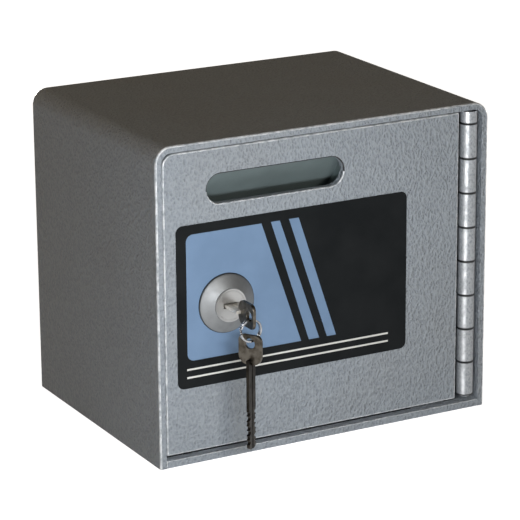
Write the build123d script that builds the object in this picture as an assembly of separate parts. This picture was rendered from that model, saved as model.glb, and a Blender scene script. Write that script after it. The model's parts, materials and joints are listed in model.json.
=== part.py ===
from build123d import *
import os
from math import sqrt

# A small steel drop box: a welded shell with a side-hung door, a deposit slot over a baffle,
# and a cam lock with its key in it and a spare on the ring.
# Millimetres. X to the right seen from the front, Y into the box, Z up.
# The origin is the middle of the underside.

# Outside of the box
width = 266.0
depth = 200.0
height = 230.0

# Shell, bent from one plate into an upturned U, with a base and a back welded into it
shell_plate = 5.0
shell_bend = 12.0
base_thickness = 5.5
back_thickness = 4.0
edge_bevel = 0.5
weld_leg = 3.0
weld_end_gap = 4.0
weld_setback = 60.0
stitch_leg = 1.6
stitch_length = 14.0
hinge_stitches = 5

# Anchor holes in the base and in the back
anchor_radius = 6.0
anchor_spacing = 140.0
base_anchor_y = 20.0
back_anchor_z = 150.0

# Door and the gaps round it
door_thickness = 6.0
door_side_gap = 0.3
door_top_gap = 0.5
door_bottom_gap = 3.7
door_hinge_gap = 3.6

# Deposit slot
slot_length = 107.6
slot_height = 21.0
slot_from_left = 38.8
slot_from_top = 34.5

# Baffle behind the slot
baffle_sheet = 1.5
baffle_side_margin = 4.0
baffle_head = 1.8
baffle_drop = 44.0
baffle_reach = 34.0
baffle_flange = 8.0

# Continuous hinge
hinge_leaf = 3.0
knuckle_radius = 6.1
pin_radius = 2.5
pin_clearance = 0.05
pin_head_radius = 4.0
pin_head_height = 1.5
hinge_end_gap = 0.3
short_knuckle = 9.1
full_knuckles = 8
knuckle_gap = 0.4
knuckle_relief = 1.0
door_leaf_width = 40.0
body_leaf_width = 30.0
packing_thickness = 3.6
packing_setback = 4.5
packing_margin = 3.0

# Stops behind the door
stop_plate = 3.0
stop_gap = 0.3
side_stop_flange = 15.0
side_stop_leg = 22.0
long_stop_flange = 11.5
long_stop_leg = 18.0
stop_end_gap = 4.0
stop_joint_gap = 0.5

# Badge plate on the door, left plain
badge_left = 14.4
badge_right = 198.0
badge_bottom = 56.2
badge_top = 173.2
badge_thickness = 0.5
badge_corner = 5.0
badge_hole_margin = 1.0

# Lock
lock_from_left = 52.4
lock_height = 113.8
housing_radius = 11.5
housing_clearance = 0.2
housing_head_radius = 12.7
housing_head = 0.8
escutcheon_radius = 21.5
escutcheon_rim = 1.2
escutcheon_bevel = 0.9
escutcheon_land = 0.4
plug_proud = 8.0
plug_face_radius = 10.4
plug_face_depth = 4.0
plug_radius = 8.0
plug_web = 2.0
running_clearance = 0.06
lock_nut_flats = 32.0
lock_nut_height = 6.0

# Keyway
keyway_gap = 0.25
keyway_end_gap = 1.0
keyway_mouth_width = 12.2
keyway_mouth_height = 3.8
keyway_mouth_depth = 1.0

# Cam and the catch it locks behind
cam_thickness = 3.0
cam_width = 15.0
cam_length = 40.0
cam_head_margin = 1.0
cam_square = 9.0
cam_square_gap = 0.1
cam_gap = 0.3
cam_end_radius = 4.0
cam_nut_flats = 10.0
cam_nut_height = 4.5
cam_stud_radius = 3.0
cam_stud_show = 1.2
thread_clearance = 0.05
catch_height = 36.0
catch_leg = 8.0

# Keys: a flat double-bitted blade set square to a flat bow
blade_width = 9.4
blade_thickness = 2.2
blade_show = 16.0
blade_length = 65.0
blade_lap = 4.0
blade_tip = 3.2
bit_pitch = 3.5
bit_cuts = (1.0, 1.9, 0.7, 1.5, 2.1, 0.9, 1.7)
bit_land = 1.4
bit_from_tip = 5.5
bit_flank = 0.5
blade_groove_width = 1.6
blade_groove_depth = 0.35
bow_length = 21.5
bow_height = 17.8
bow_thickness = 2.3
bow_neck_radius = 7.0
bow_outer_radius = 4.5
bow_hole_radius = 3.75
bow_hole_from_end = 6.2

# Key ring, a split ring of two turns
ring_radius = 7.7
ring_wire = 1.3
ring_turn_gap = 0.3
ring_cross_angle = 16.0
ring_sag = 2.5
spare_sag = 1.5
spare_turn = 33.0

# How far a cut runs past the face that it opens
over = 1.0

# Planes and lines that the pieces share
front = -depth / 2
rear = depth / 2
left = -width / 2
right = width / 2
inner_left = left + shell_plate
inner_right = right - shell_plate
inner_top = height - shell_plate
inner_bend = shell_bend - shell_plate
floor_top = base_thickness
door_left = inner_left + door_side_gap
door_top = inner_top - door_top_gap
door_bottom = floor_top + door_bottom_gap
door_back = front + door_thickness
stop_front = door_back + stop_gap

hinge_x = inner_right - packing_thickness - knuckle_radius
hinge_y = door_back + hinge_leaf - knuckle_radius
hinge_top = inner_top - hinge_end_gap
hinge_bottom = door_bottom + hinge_end_gap + pin_head_height
knuckle_pitch = (hinge_top - hinge_bottom - short_knuckle) / full_knuckles
door_right = hinge_x - knuckle_radius - door_hinge_gap

lock_x = left + lock_from_left
lock_z = lock_height
plug_front = front - plug_proud
housing_front = plug_front
key_end = plug_front - blade_show
key_tip = key_end + blade_length
keyway_width = blade_width + 2 * keyway_gap
keyway_height = blade_thickness + 2 * keyway_gap
housing_back = key_tip + keyway_end_gap + plug_web
cam_front = housing_back + cam_gap
cam_back = cam_front + cam_thickness

slot_x = left + slot_from_left + slot_length / 2
slot_z = height - slot_from_top


def block(x0, x1, y0, y1, z0, z1):
    """A straight-sided solid between two opposite corners."""
    middle = Pos((x0 + x1) / 2, (y0 + y1) / 2, (z0 + z1) / 2)
    return middle * Box(x1 - x0, y1 - y0, z1 - z0)


def rod_y(radius, x, y0, y1, z):
    """A round bar along Y."""
    return Pos(x, (y0 + y1) / 2, z) * Rot(90, 0, 0) * Cylinder(radius, y1 - y0)


def rod_z(radius, x, y, z0, z1):
    """A round bar along Z."""
    return Pos(x, y, (z0 + z1) / 2) * Cylinder(radius, z1 - z0)


def facing(y):
    """A plane that faces the front at depth y, with X and Z as its own two axes."""
    return Plane(origin=(0, y, 0), x_dir=(1, 0, 0), z_dir=(0, -1, 0))


def slab(outline, y0, y1):
    """An outline drawn in X and Z, made solid from depth y0 to y1."""
    return extrude(facing(y0) * outline, amount=y0 - y1)


def turned(profile, x, y, z):
    """A profile of radius and height in front of y, turned about an axis along Y."""
    plane = Plane(origin=(x, y, z), x_dir=(1, 0, 0), z_dir=(0, 0, -1))
    face = plane * make_face(Polyline(*profile, close=True))
    return revolve(face, axis=Axis((x, y, z), (0, -1, 0)))


def hexagon(flats):
    """A hexagon by its width across flats."""
    return RegularPolygon(flats / sqrt(3), 6)


def spread(count, low, high):
    """Evenly spaced places from low to high."""
    step = (high - low) / (count - 1)
    return [low + index * step for index in range(count)]


def knuckle_spans():
    """The height span of each knuckle from the top, the short one first."""
    cuts = [hinge_top, hinge_top - short_knuckle]
    for index in range(full_knuckles):
        cuts.append(cuts[1] - (index + 1) * knuckle_pitch)
    spans = []
    for index in range(full_knuckles + 1):
        top = cuts[index] - (knuckle_gap / 2 if index else 0)
        bottom = cuts[index + 1] + (knuckle_gap / 2 if index < full_knuckles else 0)
        spans.append((bottom, top))
    return spans


def shell():
    """Top and sides in one plate, with two rounded bends and square lower edges."""
    outer = Pos(0, height / 2) * Rectangle(width, height)
    outer = fillet(outer.vertices().sort_by(Axis.Y)[-2:], shell_bend)
    inner = Pos(0, inner_top / 2) * Rectangle(width - 2 * shell_plate, inner_top)
    inner = fillet(inner.vertices().sort_by(Axis.Y)[-2:], inner_bend)
    body = slab(outer - inner, front, rear)
    rim = body.faces().sort_by(Axis.Y)[0]
    middle = (inner_top + height) / 2
    reach = (inner_right + right) / 2
    outside = [edge for edge in rim.edges() if edge.center().Z > middle or abs(edge.center().X) > reach]
    return chamfer(outside, edge_bevel)


def anchor_xs():
    """Left and right places of the anchor holes."""
    return (-anchor_spacing / 2, anchor_spacing / 2)


def base_panel():
    """Base between the sides, with its front edge in the plane of the door."""
    panel = block(inner_left, inner_right, front, rear, 0, floor_top)
    for x in anchor_xs():
        panel -= rod_z(anchor_radius, x, base_anchor_y, -over, floor_top + over)
    return panel


def back_panel():
    """Back let into the shell, standing on the base."""
    tall = inner_top - floor_top
    outline = Pos(0, floor_top + tall / 2) * Rectangle(width - 2 * shell_plate, tall)
    outline = fillet(outline.vertices().sort_by(Axis.Y)[-2:], inner_bend)
    panel = slab(outline, rear - back_thickness, rear)
    for x in anchor_xs():
        panel -= rod_y(anchor_radius, x, rear - back_thickness - over, rear + over, back_anchor_z)
    return panel


def weld_bead(corner, length):
    """A three-cornered bead from the XY origin, up Z."""
    x, y = corner
    return extrude(make_face(Polyline((0, 0), (x, 0), (0, y), close=True)), amount=length)


def shell_welds():
    """Fillet welds inside: the base to both sides, and the back to the sides and the base."""
    inside = rear - back_thickness
    leg = weld_leg
    run = inside - weld_end_gap - (front + weld_setback)
    rise = inner_top - inner_bend - floor_top - 2 * weld_end_gap
    across = inner_right - inner_left - 2 * weld_end_gap
    forward = Rot(90, 0, 0)
    sideways = Rot(0, 0, 90) * Rot(90, 0, 0)
    lying = Pos(inner_left, inside - weld_end_gap, floor_top) * forward * weld_bead((leg, leg), run)
    upright = Pos(inner_left, inside, floor_top + weld_end_gap) * weld_bead((leg, -leg), rise)
    low = Pos(inner_left + weld_end_gap, inside, floor_top) * sideways * weld_bead((-leg, leg), across)
    return [lying, mirror(lying, Plane.YZ), upright, mirror(upright, Plane.YZ), low]


def side_stop():
    """Angle up the left side that the free edge of the door closes against."""
    top = inner_top - inner_bend - stop_joint_gap
    back, leg_end = stop_front + stop_plate, stop_front + side_stop_leg
    flange = block(inner_left, inner_left + side_stop_flange, stop_front, back, floor_top, top)
    return flange + block(inner_left, inner_left + stop_plate, stop_front, leg_end, floor_top, top)


def long_stop_span():
    """Left and right ends of the stops at the top and the bottom."""
    return inner_left + side_stop_flange + stop_joint_gap, hinge_x - door_leaf_width - stop_end_gap


def top_stop():
    """Angle under the top, above the slot and the baffle."""
    x0, x1 = long_stop_span()
    flange = block(x0, x1, stop_front, stop_front + stop_plate, inner_top - long_stop_flange, inner_top)
    leg = block(x0, x1, stop_front, stop_front + long_stop_leg, inner_top - stop_plate, inner_top)
    return flange + leg


def bottom_stop():
    """Angle on the base that closes the gap under the door."""
    x0, x1 = long_stop_span()
    flange = block(x0, x1, stop_front, stop_front + stop_plate, floor_top, floor_top + long_stop_flange)
    leg = block(x0, x1, stop_front, stop_front + long_stop_leg, floor_top, floor_top + stop_plate)
    return flange + leg


def catch():
    """Short angle on the left side: the cam turns behind its flange."""
    y1 = cam_front - cam_gap
    low, high = lock_z - catch_height / 2, lock_z + catch_height / 2
    flange = block(inner_left, inner_left + side_stop_flange, y1 - stop_plate, y1, low, high)
    return flange + block(inner_left, inner_left + stop_plate, y1 - catch_leg, y1, low, high)


def leaf_knuckles(spans):
    """The rolled knuckles of one leaf, still solid."""
    return [rod_z(knuckle_radius, hinge_x, hinge_y, low, high) for low, high in spans]


def pin_hole():
    """What the pin's hole takes out of both leaves."""
    return rod_z(pin_radius + pin_clearance, hinge_x, hinge_y, hinge_bottom - over, hinge_top + over)


def body_leaf():
    """Hinge leaf along the right side, with the first, third and every second knuckle after."""
    spans = knuckle_spans()
    outer = hinge_x + knuckle_radius
    leaf = block(outer - hinge_leaf, outer, hinge_y, hinge_y + body_leaf_width, hinge_bottom, hinge_top)
    clear = hinge_y + knuckle_radius + knuckle_relief
    for low, high in spans[1::2]:
        leaf -= block(outer - hinge_leaf - over, outer + over, hinge_y - over, clear,
                      low - knuckle_gap, high + knuckle_gap)
    for knuckle in leaf_knuckles(spans[0::2]):
        leaf += knuckle
    return leaf & inside_shell(hinge_end_gap) - pin_hole()


def inside_shell(gap):
    """The space inside the shell, less a gap, to trim a corner to its bend."""
    wide, tall = width - 2 * shell_plate, inner_top - gap
    outline = Pos(0, tall / 2) * Rectangle(wide, tall)
    outline = fillet(outline.vertices().sort_by(Axis.Y)[-2:], inner_bend)
    return slab(outline, front - depth, rear)


def door_leaf():
    """Hinge leaf behind the door, with the other knuckles."""
    spans = knuckle_spans()
    inner = hinge_x - door_leaf_width
    leaf = block(inner, hinge_x, door_back, door_back + hinge_leaf, hinge_bottom, hinge_top - short_knuckle)
    clear = hinge_x - knuckle_radius - knuckle_relief
    for low, high in spans[0::2]:
        leaf -= block(clear, hinge_x + over, door_back - over, door_back + hinge_leaf + over,
                      low - knuckle_gap, high + knuckle_gap)
    for knuckle in leaf_knuckles(spans[1::2]):
        leaf += knuckle
    return leaf - pin_hole()


def hinge_pin():
    """Pin through all the knuckles, with a formed head below."""
    head = rod_z(pin_head_radius, hinge_x, hinge_y, hinge_bottom - pin_head_height, hinge_bottom)
    return rod_z(pin_radius, hinge_x, hinge_y, hinge_bottom - pin_head_height, hinge_top) + head


def packing_strip():
    """Strip between the body leaf and the side of the shell, a little deeper than the leaf."""
    near, far = door_back + packing_setback, hinge_y + body_leaf_width + packing_margin
    return block(hinge_x + knuckle_radius, inner_right, near, far, hinge_bottom, inner_top - inner_bend)


def stitches(x, y):
    """Short fillet welds up the corner at (x, y), on its left and behind it, along the hinge."""
    zs = spread(hinge_stitches, hinge_bottom + stitch_length, hinge_top - knuckle_pitch - stitch_length)
    return [Pos(x, y, z) * weld_bead((-stitch_leg, stitch_leg), stitch_length) for z in zs]


def body_leaf_welds():
    """Stitches from the body leaf to its strip, and from the strip to the shell."""
    edge = hinge_y + body_leaf_width
    return stitches(hinge_x + knuckle_radius, edge) + stitches(inner_right, edge + packing_margin)


def door_leaf_welds():
    """Stitches from the door leaf's edge to the door."""
    return stitches(hinge_x - door_leaf_width, door_back)


def door_panel():
    """Flush steel door with a rounded top corner, the slot and the lock's hole."""
    wide, tall = door_right - door_left, door_top - door_bottom
    outline = Pos(door_left + wide / 2, door_bottom + tall / 2) * Rectangle(wide, tall)
    corner = outline.vertices().sort_by(Axis.X)[:2].sort_by(Axis.Y)[-1]
    outline = fillet(corner, inner_bend - door_side_gap)
    outline -= Pos(slot_x, slot_z) * SlotOverall(slot_length, slot_height)
    outline -= Pos(lock_x, lock_z) * Circle(housing_radius + housing_clearance)
    panel = slab(outline, front, door_back)
    face = panel.faces().sort_by(Axis.Y)[0]
    rims = [edge for edge in face.edges() if abs(edge.center().Z - lock_z) > housing_radius
            or abs(edge.center().X - lock_x) > housing_radius]
    return chamfer(rims, edge_bevel)


def badge_plate():
    """Thin plate on the door, with a hole that the escutcheon covers."""
    wide, tall = badge_right - badge_left, badge_top - badge_bottom
    middle = Pos(left + badge_left + wide / 2, badge_bottom + tall / 2)
    outline = middle * RectangleRounded(wide, tall, badge_corner)
    outline -= Pos(lock_x, lock_z) * Circle(housing_radius + badge_hole_margin)
    return slab(outline, front - badge_thickness, front)


def baffle_edges():
    """Left and right outsides of the baffle's cheeks, and the height of its upper edge."""
    half = slot_length / 2 + baffle_side_margin + baffle_sheet
    return slot_x - half, slot_x + half, slot_z + slot_height / 2 + baffle_head


def baffle():
    """Folded sheet: a slope that starts over the slot, two cheeks and two flanges on the door."""
    x0, x1, top = baffle_edges()
    low = top - baffle_drop
    back = door_back + baffle_reach
    slant = sqrt(baffle_drop ** 2 + baffle_reach ** 2)
    across = baffle_sheet * slant / baffle_drop
    side = Plane(origin=(x0, 0, 0), x_dir=(0, 1, 0), z_dir=(1, 0, 0))
    upper, lower = (door_back, top), (back, low)
    slope = Polyline(upper, (door_back + across, top), (back + across, low), lower, close=True)
    sheet = extrude(side * make_face(slope), amount=x1 - x0)
    cheek = make_face(Polyline((door_back, top), (door_back, low), (back + across, low),
                               (door_back + across, top), close=True))
    sheet += extrude(side * cheek, amount=baffle_sheet)
    sheet += Pos(x1 - x0 - baffle_sheet, 0, 0) * extrude(side * cheek, amount=baffle_sheet)
    for edge, way in ((x0, -1), (x1, 1)):
        near, far = sorted((edge, edge + way * baffle_flange))
        sheet += block(near, far, door_back, door_back + baffle_sheet, low, top)
    return sheet


def baffle_welds():
    """Stitches along the outer edges of the baffle's flanges."""
    x0, x1, top = baffle_edges()
    z = top - (baffle_drop + stitch_length) / 2
    beads = []
    for edge, way in ((x0 - baffle_flange, -1), (x1 + baffle_flange, 1)):
        beads.append(Pos(edge, door_back, z) * weld_bead((way * stitch_leg, stitch_leg), stitch_length))
    return beads


def escutcheon():
    """Turned cone round the lock, with a bevelled rim, clamped under the housing's head."""
    bore = housing_radius + housing_clearance
    tall = plug_proud - housing_head - badge_thickness
    profile = [(bore, 0), (escutcheon_radius, 0), (escutcheon_radius, escutcheon_rim),
               (escutcheon_radius - escutcheon_bevel, escutcheon_rim + escutcheon_bevel),
               (housing_head_radius + escutcheon_land, tall), (bore, tall)]
    return turned(profile, lock_x, front - badge_thickness, lock_z)


def lock_housing():
    """Barrel through the door, with a head in front and a stepped bore for the plug."""
    back = housing_back - housing_front
    wide = plug_face_radius + running_clearance
    narrow = plug_radius + running_clearance
    profile = [(wide, 0), (housing_head_radius, 0), (housing_head_radius, -housing_head),
               (housing_radius, -housing_head), (housing_radius, -back),
               (narrow, -back), (narrow, -plug_face_depth), (wide, -plug_face_depth)]
    return turned(profile, lock_x, housing_front, lock_z)


def lock_plug():
    """Round face and barrel with the keyway, a square for the cam and a threaded end."""
    face_back = plug_front + plug_face_depth - running_clearance
    plug = rod_y(plug_face_radius, lock_x, plug_front, face_back, lock_z)
    plug += rod_y(plug_radius, lock_x, face_back - over, cam_front, lock_z)
    half = cam_square / 2
    plug += block(lock_x - half, lock_x + half, cam_front - over, cam_back, lock_z - half, lock_z + half)
    stud_end = cam_back + cam_nut_height + cam_stud_show
    plug += rod_y(cam_stud_radius, lock_x, cam_back - over, stud_end, lock_z)
    keyway = Pos(lock_x, lock_z) * Rectangle(keyway_width, keyway_height)
    mouth = Pos(lock_x, lock_z) * Rectangle(keyway_mouth_width, keyway_mouth_height)
    plug -= slab(keyway, plug_front - over, key_tip + keyway_end_gap)
    throat = facing(plug_front + keyway_mouth_depth) * keyway
    return plug - loft([(facing(plug_front) * mouth).face(), throat.face()], ruled=True)


def nut(bore, flats, y0, tall):
    """A hexagon nut on the lock's axis."""
    blank = slab(Pos(lock_x, lock_z) * hexagon(flats), y0, y0 + tall)
    return blank - rod_y(bore + thread_clearance, lock_x, y0 - over, y0 + tall + over, lock_z)


def cam():
    """Flat cam with a square hole: it hangs while unlocked and turns left to lock."""
    head = Pos(lock_x, lock_z) * Circle(cam_width / 2 + cam_head_margin)
    arm_low = lock_z - cam_length
    arm = Pos(lock_x, (lock_z + arm_low) / 2) * Rectangle(cam_width, cam_length)
    arm = fillet(arm.vertices().sort_by(Axis.Y)[:2], cam_end_radius)
    side = cam_square + 2 * cam_square_gap
    outline = head + arm - Pos(lock_x, lock_z) * Rectangle(side, side)
    return slab(outline, cam_front, cam_back)


def bit_notch(y, edge, cut):
    """One cut of the bitting in the edge of the blade, with sloping flanks."""
    floor, outside = edge - cut, edge + over
    low = bit_land / 2
    high = low + bit_flank * (cut + over)
    corners = [(floor, y - low), (floor, y + low), (outside, y + high), (outside, y - high)]
    notch = make_face(Polyline(*corners, close=True))
    return Pos(0, 0, -blade_thickness) * extrude(notch, amount=2 * blade_thickness)


def blade():
    """Key blade along +Y from the bow, flat in X and Y, bitted on both edges."""
    half = blade_width / 2
    solid = block(-half, half, 0, blade_length, -blade_thickness / 2, blade_thickness / 2)
    tip = solid.edges().filter_by(Axis.Z).sort_by(Axis.Y)[-2:]
    solid = fillet(tip, blade_tip)
    for index, cut in enumerate(bit_cuts):
        y = blade_length - bit_from_tip - index * bit_pitch
        solid -= bit_notch(y, half, cut)
        solid -= mirror(bit_notch(y, half, bit_cuts[-1 - index]), Plane.YZ)
    for side in (1, -1):
        z = side * blade_thickness / 2
        low, high = sorted((z, z - side * blade_groove_depth))
        wide = blade_groove_width / 2
        solid -= block(-wide, wide, blade_lap, blade_length + over, low, high)
    wide = bow_thickness / 2
    slot = block(-wide, wide, -over, blade_lap / 2, -blade_thickness, blade_thickness)
    return solid - slot


def bow():
    """Key bow along -Y, flat in Y and Z, lapped over the end of the blade."""
    outer = -(bow_length - blade_lap)
    middle = (blade_lap + outer) / 2
    side = Plane(origin=(-bow_thickness / 2, 0, 0), x_dir=(0, 1, 0), z_dir=(1, 0, 0))
    outline = Pos(middle, 0) * Rectangle(bow_length, bow_height)
    outline = fillet(outline.vertices().sort_by(Axis.X)[:2], bow_outer_radius)
    outline = fillet(outline.vertices().sort_by(Axis.X)[-2:], bow_neck_radius)
    outline -= Pos(outer + bow_hole_from_end, 0) * Circle(bow_hole_radius)
    plate = extrude(side * outline, amount=bow_thickness)
    half = blade_thickness / 2
    return plate - block(-bow_thickness, bow_thickness, blade_lap / 2, blade_lap + over, -half, half)


def bow_hole_y():
    """Distance of the bow's hole in front of the outer end of the blade."""
    return bow_length - blade_lap - bow_hole_from_end


def in_lock(piece):
    """Place a piece of the key in the lock."""
    return Pos(lock_x, key_end, lock_z) * piece


def ring_centre():
    """Centre of the ring, which hangs from the bow of the key in the lock."""
    return lock_x, key_end - bow_hole_y(), lock_z - ring_sag - ring_radius


def on_ring(piece):
    """Place a piece of the spare key, hanging from the lowest point of the ring."""
    x, y, z = ring_centre()
    hole_z = z - ring_radius - spare_sag
    return Pos(x, y, hole_z - bow_hole_y()) * Rot(0, 0, spare_turn) * Rot(-90, 0, 0) * piece


def ring_section(side, angle):
    """Square section of the wire in one of the two turns, at an angle round the ring."""
    place = Rot(0, 0, angle) * Pos(ring_radius, 0, side * (ring_wire + ring_turn_gap) / 2) * Rot(90, 0, 0)
    return place * Rectangle(ring_wire, ring_wire)


def key_ring():
    """Split ring: two open turns of wire side by side, joined by a crossing bend."""
    arc = 360 - 2 * ring_cross_angle
    starts = [ring_section(side, ring_cross_angle) for side in (-1, 1)]
    turns = [revolve(start, axis=Axis.Z, revolution_arc=arc) for start in starts]
    ends = [ring_section(-1, -ring_cross_angle), ring_section(1, ring_cross_angle)]
    bend = loft([end.face() for end in ends], ruled=True)
    return Pos(*ring_centre()) * Rot(90, 0, 0) * Rot(0, 0, 180) * (turns[0] + turns[1] + bend)


def write(name, piece):
    """Write one node, a single solid or a group of separate solids."""
    shape = Compound(children=piece) if isinstance(piece, list) else piece
    export_step(shape, os.path.join("parts", name + ".step"))


os.makedirs("parts", exist_ok=True)
nodes = {
    "shell": shell(),
    "base_panel": base_panel(),
    "back_panel": back_panel(),
    "shell_welds": shell_welds(),
    "side_stop": side_stop(),
    "top_stop": top_stop(),
    "bottom_stop": bottom_stop(),
    "catch": catch(),
    "packing_strip": packing_strip(),
    "body_leaf": body_leaf(),
    "body_leaf_welds": body_leaf_welds(),
    "hinge_pin": hinge_pin(),
    "door_panel": door_panel(),
    "door_leaf": door_leaf(),
    "door_leaf_welds": door_leaf_welds(),
    "badge_plate": badge_plate(),
    "baffle": baffle(),
    "baffle_welds": baffle_welds(),
    "escutcheon": escutcheon(),
    "lock_housing": lock_housing(),
    "lock_nut": nut(housing_radius, lock_nut_flats, door_back, lock_nut_height),
    "lock_plug": lock_plug(),
    "cam": cam(),
    "cam_nut": nut(cam_stud_radius, cam_nut_flats, cam_back, cam_nut_height),
    "key_blade": in_lock(blade()),
    "key_bow": in_lock(bow()),
    "key_ring": key_ring(),
    "spare_blade": on_ring(blade()),
    "spare_bow": on_ring(bow()),
}
for name, piece in nodes.items():
    write(name, piece)
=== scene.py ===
"""A drop box, a small steel deposit safe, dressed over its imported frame.

Lengths are in metres, X to the right seen from the front, Y into the box, Z up. Every piece
is modelled where the frame has it and rides on one of the frame's bodies.
"""

import json
from functools import wraps
from math import pi, radians

import bmesh
import bpy
from bpy.props import FloatProperty, FloatVectorProperty, PointerProperty
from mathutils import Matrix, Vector


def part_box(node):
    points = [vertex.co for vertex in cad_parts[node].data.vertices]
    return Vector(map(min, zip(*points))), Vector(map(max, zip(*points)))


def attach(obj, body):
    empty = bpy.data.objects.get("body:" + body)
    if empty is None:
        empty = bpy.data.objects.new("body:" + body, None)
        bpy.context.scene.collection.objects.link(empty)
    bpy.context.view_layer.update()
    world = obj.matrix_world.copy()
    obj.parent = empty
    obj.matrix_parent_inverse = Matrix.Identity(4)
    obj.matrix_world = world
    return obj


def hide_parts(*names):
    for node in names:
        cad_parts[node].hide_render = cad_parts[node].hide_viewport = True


bl_info = {
    "name": "Drop box",
    "version": (1, 0, 0),
    "blender": (4, 5, 0),
    "location": "View3D > Sidebar > Drop box",
    "description": "Models a small steel deposit safe and its keys piece by piece",
    "category": "Add Mesh",
}

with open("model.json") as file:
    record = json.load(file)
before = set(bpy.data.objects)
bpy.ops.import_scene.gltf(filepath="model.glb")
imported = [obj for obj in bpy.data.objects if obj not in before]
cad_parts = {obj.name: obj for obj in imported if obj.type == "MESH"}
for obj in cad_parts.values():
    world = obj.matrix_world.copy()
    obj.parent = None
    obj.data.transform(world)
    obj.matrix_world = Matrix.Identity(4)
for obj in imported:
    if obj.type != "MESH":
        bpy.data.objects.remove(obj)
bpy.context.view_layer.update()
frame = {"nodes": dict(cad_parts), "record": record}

mm = 0.001
# How far a tool or a test reaches past a face, and the length of a tool through the door.
over = 1 * mm
through = 40 * mm
smooth_angle = radians(32)


def linear(code):
    """An sRGB hex colour as linear red, green and blue."""
    shares = [int(code[i : i + 2], 16) / 255 for i in (0, 2, 4)]
    return tuple(c / 12.92 if c <= 0.04045 else ((c + 0.055) / 1.055) ** 2.4 for c in shares)


def length(name, description, default):
    """A length property."""
    return FloatProperty(name=name, description=description, default=default, unit="LENGTH",
                         precision=5, min=0.0)


def colour(name, description, code):
    """A colour property, written as sRGB hex."""
    return FloatVectorProperty(name=name, description=description, default=linear(code),
                               subtype="COLOR", size=3, min=0.0, max=1.0)


class SafeSizes(bpy.types.PropertyGroup):
    """Sizes that a user may change before building."""

    shell_plate: length("Shell plate", "Thickness of the bent plate", 5 * mm)
    shell_bend: length("Shell bend", "Outer radius of the two upper bends", 12 * mm)
    shell_edge: length("Shell edge", "Rounding of the shell's outer edges", 1.3 * mm)
    shell_inner_edge: length("Shell inner edge", "Rounding of its other edges", 0.4 * mm)
    door_corner: length("Door corner", "Radius of the door's upper free corner", 8.6 * mm)
    door_edge: length("Door edge", "Rounding of the door's edges", 1.1 * mm)
    slot_edge: length("Slot edge", "Rounding of the slot's edges", 0.8 * mm)
    slot_length: length("Slot length", "Length of the deposit slot", 107.6 * mm)
    slot_height: length("Slot height", "Height of the deposit slot", 21 * mm)
    dimple: length("Dimple", "Width of one pit in the hammered paint", 1.9 * mm)
    dimple_depth: length("Dimple depth", "Depth of the pits in the hammered paint", 1.3 * mm)
    badge_corner: length("Badge corner", "Corner radius of the badge plate", 5 * mm)
    ink: length("Ink", "How far the printed areas stand off the badge plate", 0.06 * mm)
    pinstripe: length("Pinstripe", "Width of the two fine lines under the field", 1.3 * mm)
    thread_pitch: length("Thread pitch", "Pitch of the thread on the lock's barrel", 1.5 * mm)
    weld_ripple: length("Weld ripple", "Spacing of the ripples in a weld bead", 1.1 * mm)


class SafeColours(bpy.types.PropertyGroup):
    """Colours that a user may change before building."""

    paint: colour("Paint", "Silver of the hammered paint", "9AA2AA")
    paint_pit: colour("Paint pit", "Darker silver in the pits of the paint", "8E969F")
    # Painted highlight: the lighter edge colour also stands in for light along the roundings.
    edge_wear_and_highlight: colour("Paint edge", "Thinned paint along the edges", "D2D7DB")
    film: colour("Film", "Faint film that hands leave on the paint", "8A8378")
    hinge: colour("Hinge", "Silver of the thinner coat on the hinge", "A9AFB5")
    hinge_pit: colour("Hinge pit", "Darker silver in the pits of that coat", "8D939A")
    # Painted highlight: the bright steel of the streak down the hinge's knuckles.
    painted_highlight_steel: colour("Bare steel", "Plated steel where the hinge is rubbed through", "E2E5E8")
    inner_paint: colour("Inner paint", "Paint of the fittings inside", "7E8D8F")
    # Painted shade: black on the door stops, in the hinge's gaps and on the slot's upper lip.
    shade_black: colour("Primer", "Black primer of the door stops, and grime", "1F2124")
    badge: colour("Badge", "Ground of the badge plate", "16191B")
    field: colour("Field", "Printed field and broad stripes", "6E87A5")
    fine_line: colour("Fine line", "The two printed pinstripes", "D2D4D2")
    rose: colour("Escutcheon", "Satin nickel of the escutcheon", "878A8C")
    # Painted shade: the darker nickel round the escutcheon's rim.
    rim_shade: colour("Escutcheon rim", "Dulled nickel round its rim", "55595B")
    lock: colour("Lock", "Satin chrome of the lock's housing and plug", "A9AAAA")
    zinc: colour("Zinc", "Zinc plating of the nuts and the cam", "B9BAB4")
    key: colour("Key", "Tarnished nickel of the keys", "625E57")
    key_dirt: colour("Key dirt", "Browned patches on the keys", "3F3A33")
    # Painted highlight: the blade in the lock is made bright, with duller patches.
    key_highlight: colour("Worn key", "Nickel that the lock has rubbed bright", "F2EFE8")
    key_highlight_patches: colour("Worn key dirt", "Duller patches on it", "D2CEC6")
    # Painted shade: the spare's blade is made nearly black, with blacker patches.
    spare: colour("Spare key", "Nearly black nickel of the spare's blade", "2E2B27")
    spare_shade_patches: colour("Spare key dirt", "Blacker patches on it", "1B1917")
    ring: colour("Ring", "Bright steel of the key ring", "A6A8AB")
    ring_dirt: colour("Ring dirt", "Duller patches on the ring", "6F7174")
    floor: colour("Floor", "The pale floor", "C2C2C2")


def sizes():
    """The sizes in the sidebar."""
    return bpy.context.scene.safe_sizes


def tones():
    """The colours in the sidebar."""
    return bpy.context.scene.safe_colours


# Selecting and shaping


def rest():
    """Object mode, with nothing selected."""
    if bpy.context.object and bpy.context.object.mode != "OBJECT":
        bpy.ops.object.mode_set(mode="OBJECT")
    bpy.ops.object.select_all(action="DESELECT")


def take(piece):
    """Select one piece alone and make it active."""
    rest()
    piece.select_set(True)
    bpy.context.view_layer.objects.active = piece


def settle(name):
    """Name the new primitive and put its place into its mesh."""
    piece = bpy.context.object
    piece.name = name
    bpy.ops.object.transform_apply(location=True, rotation=True, scale=True)
    return piece


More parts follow.
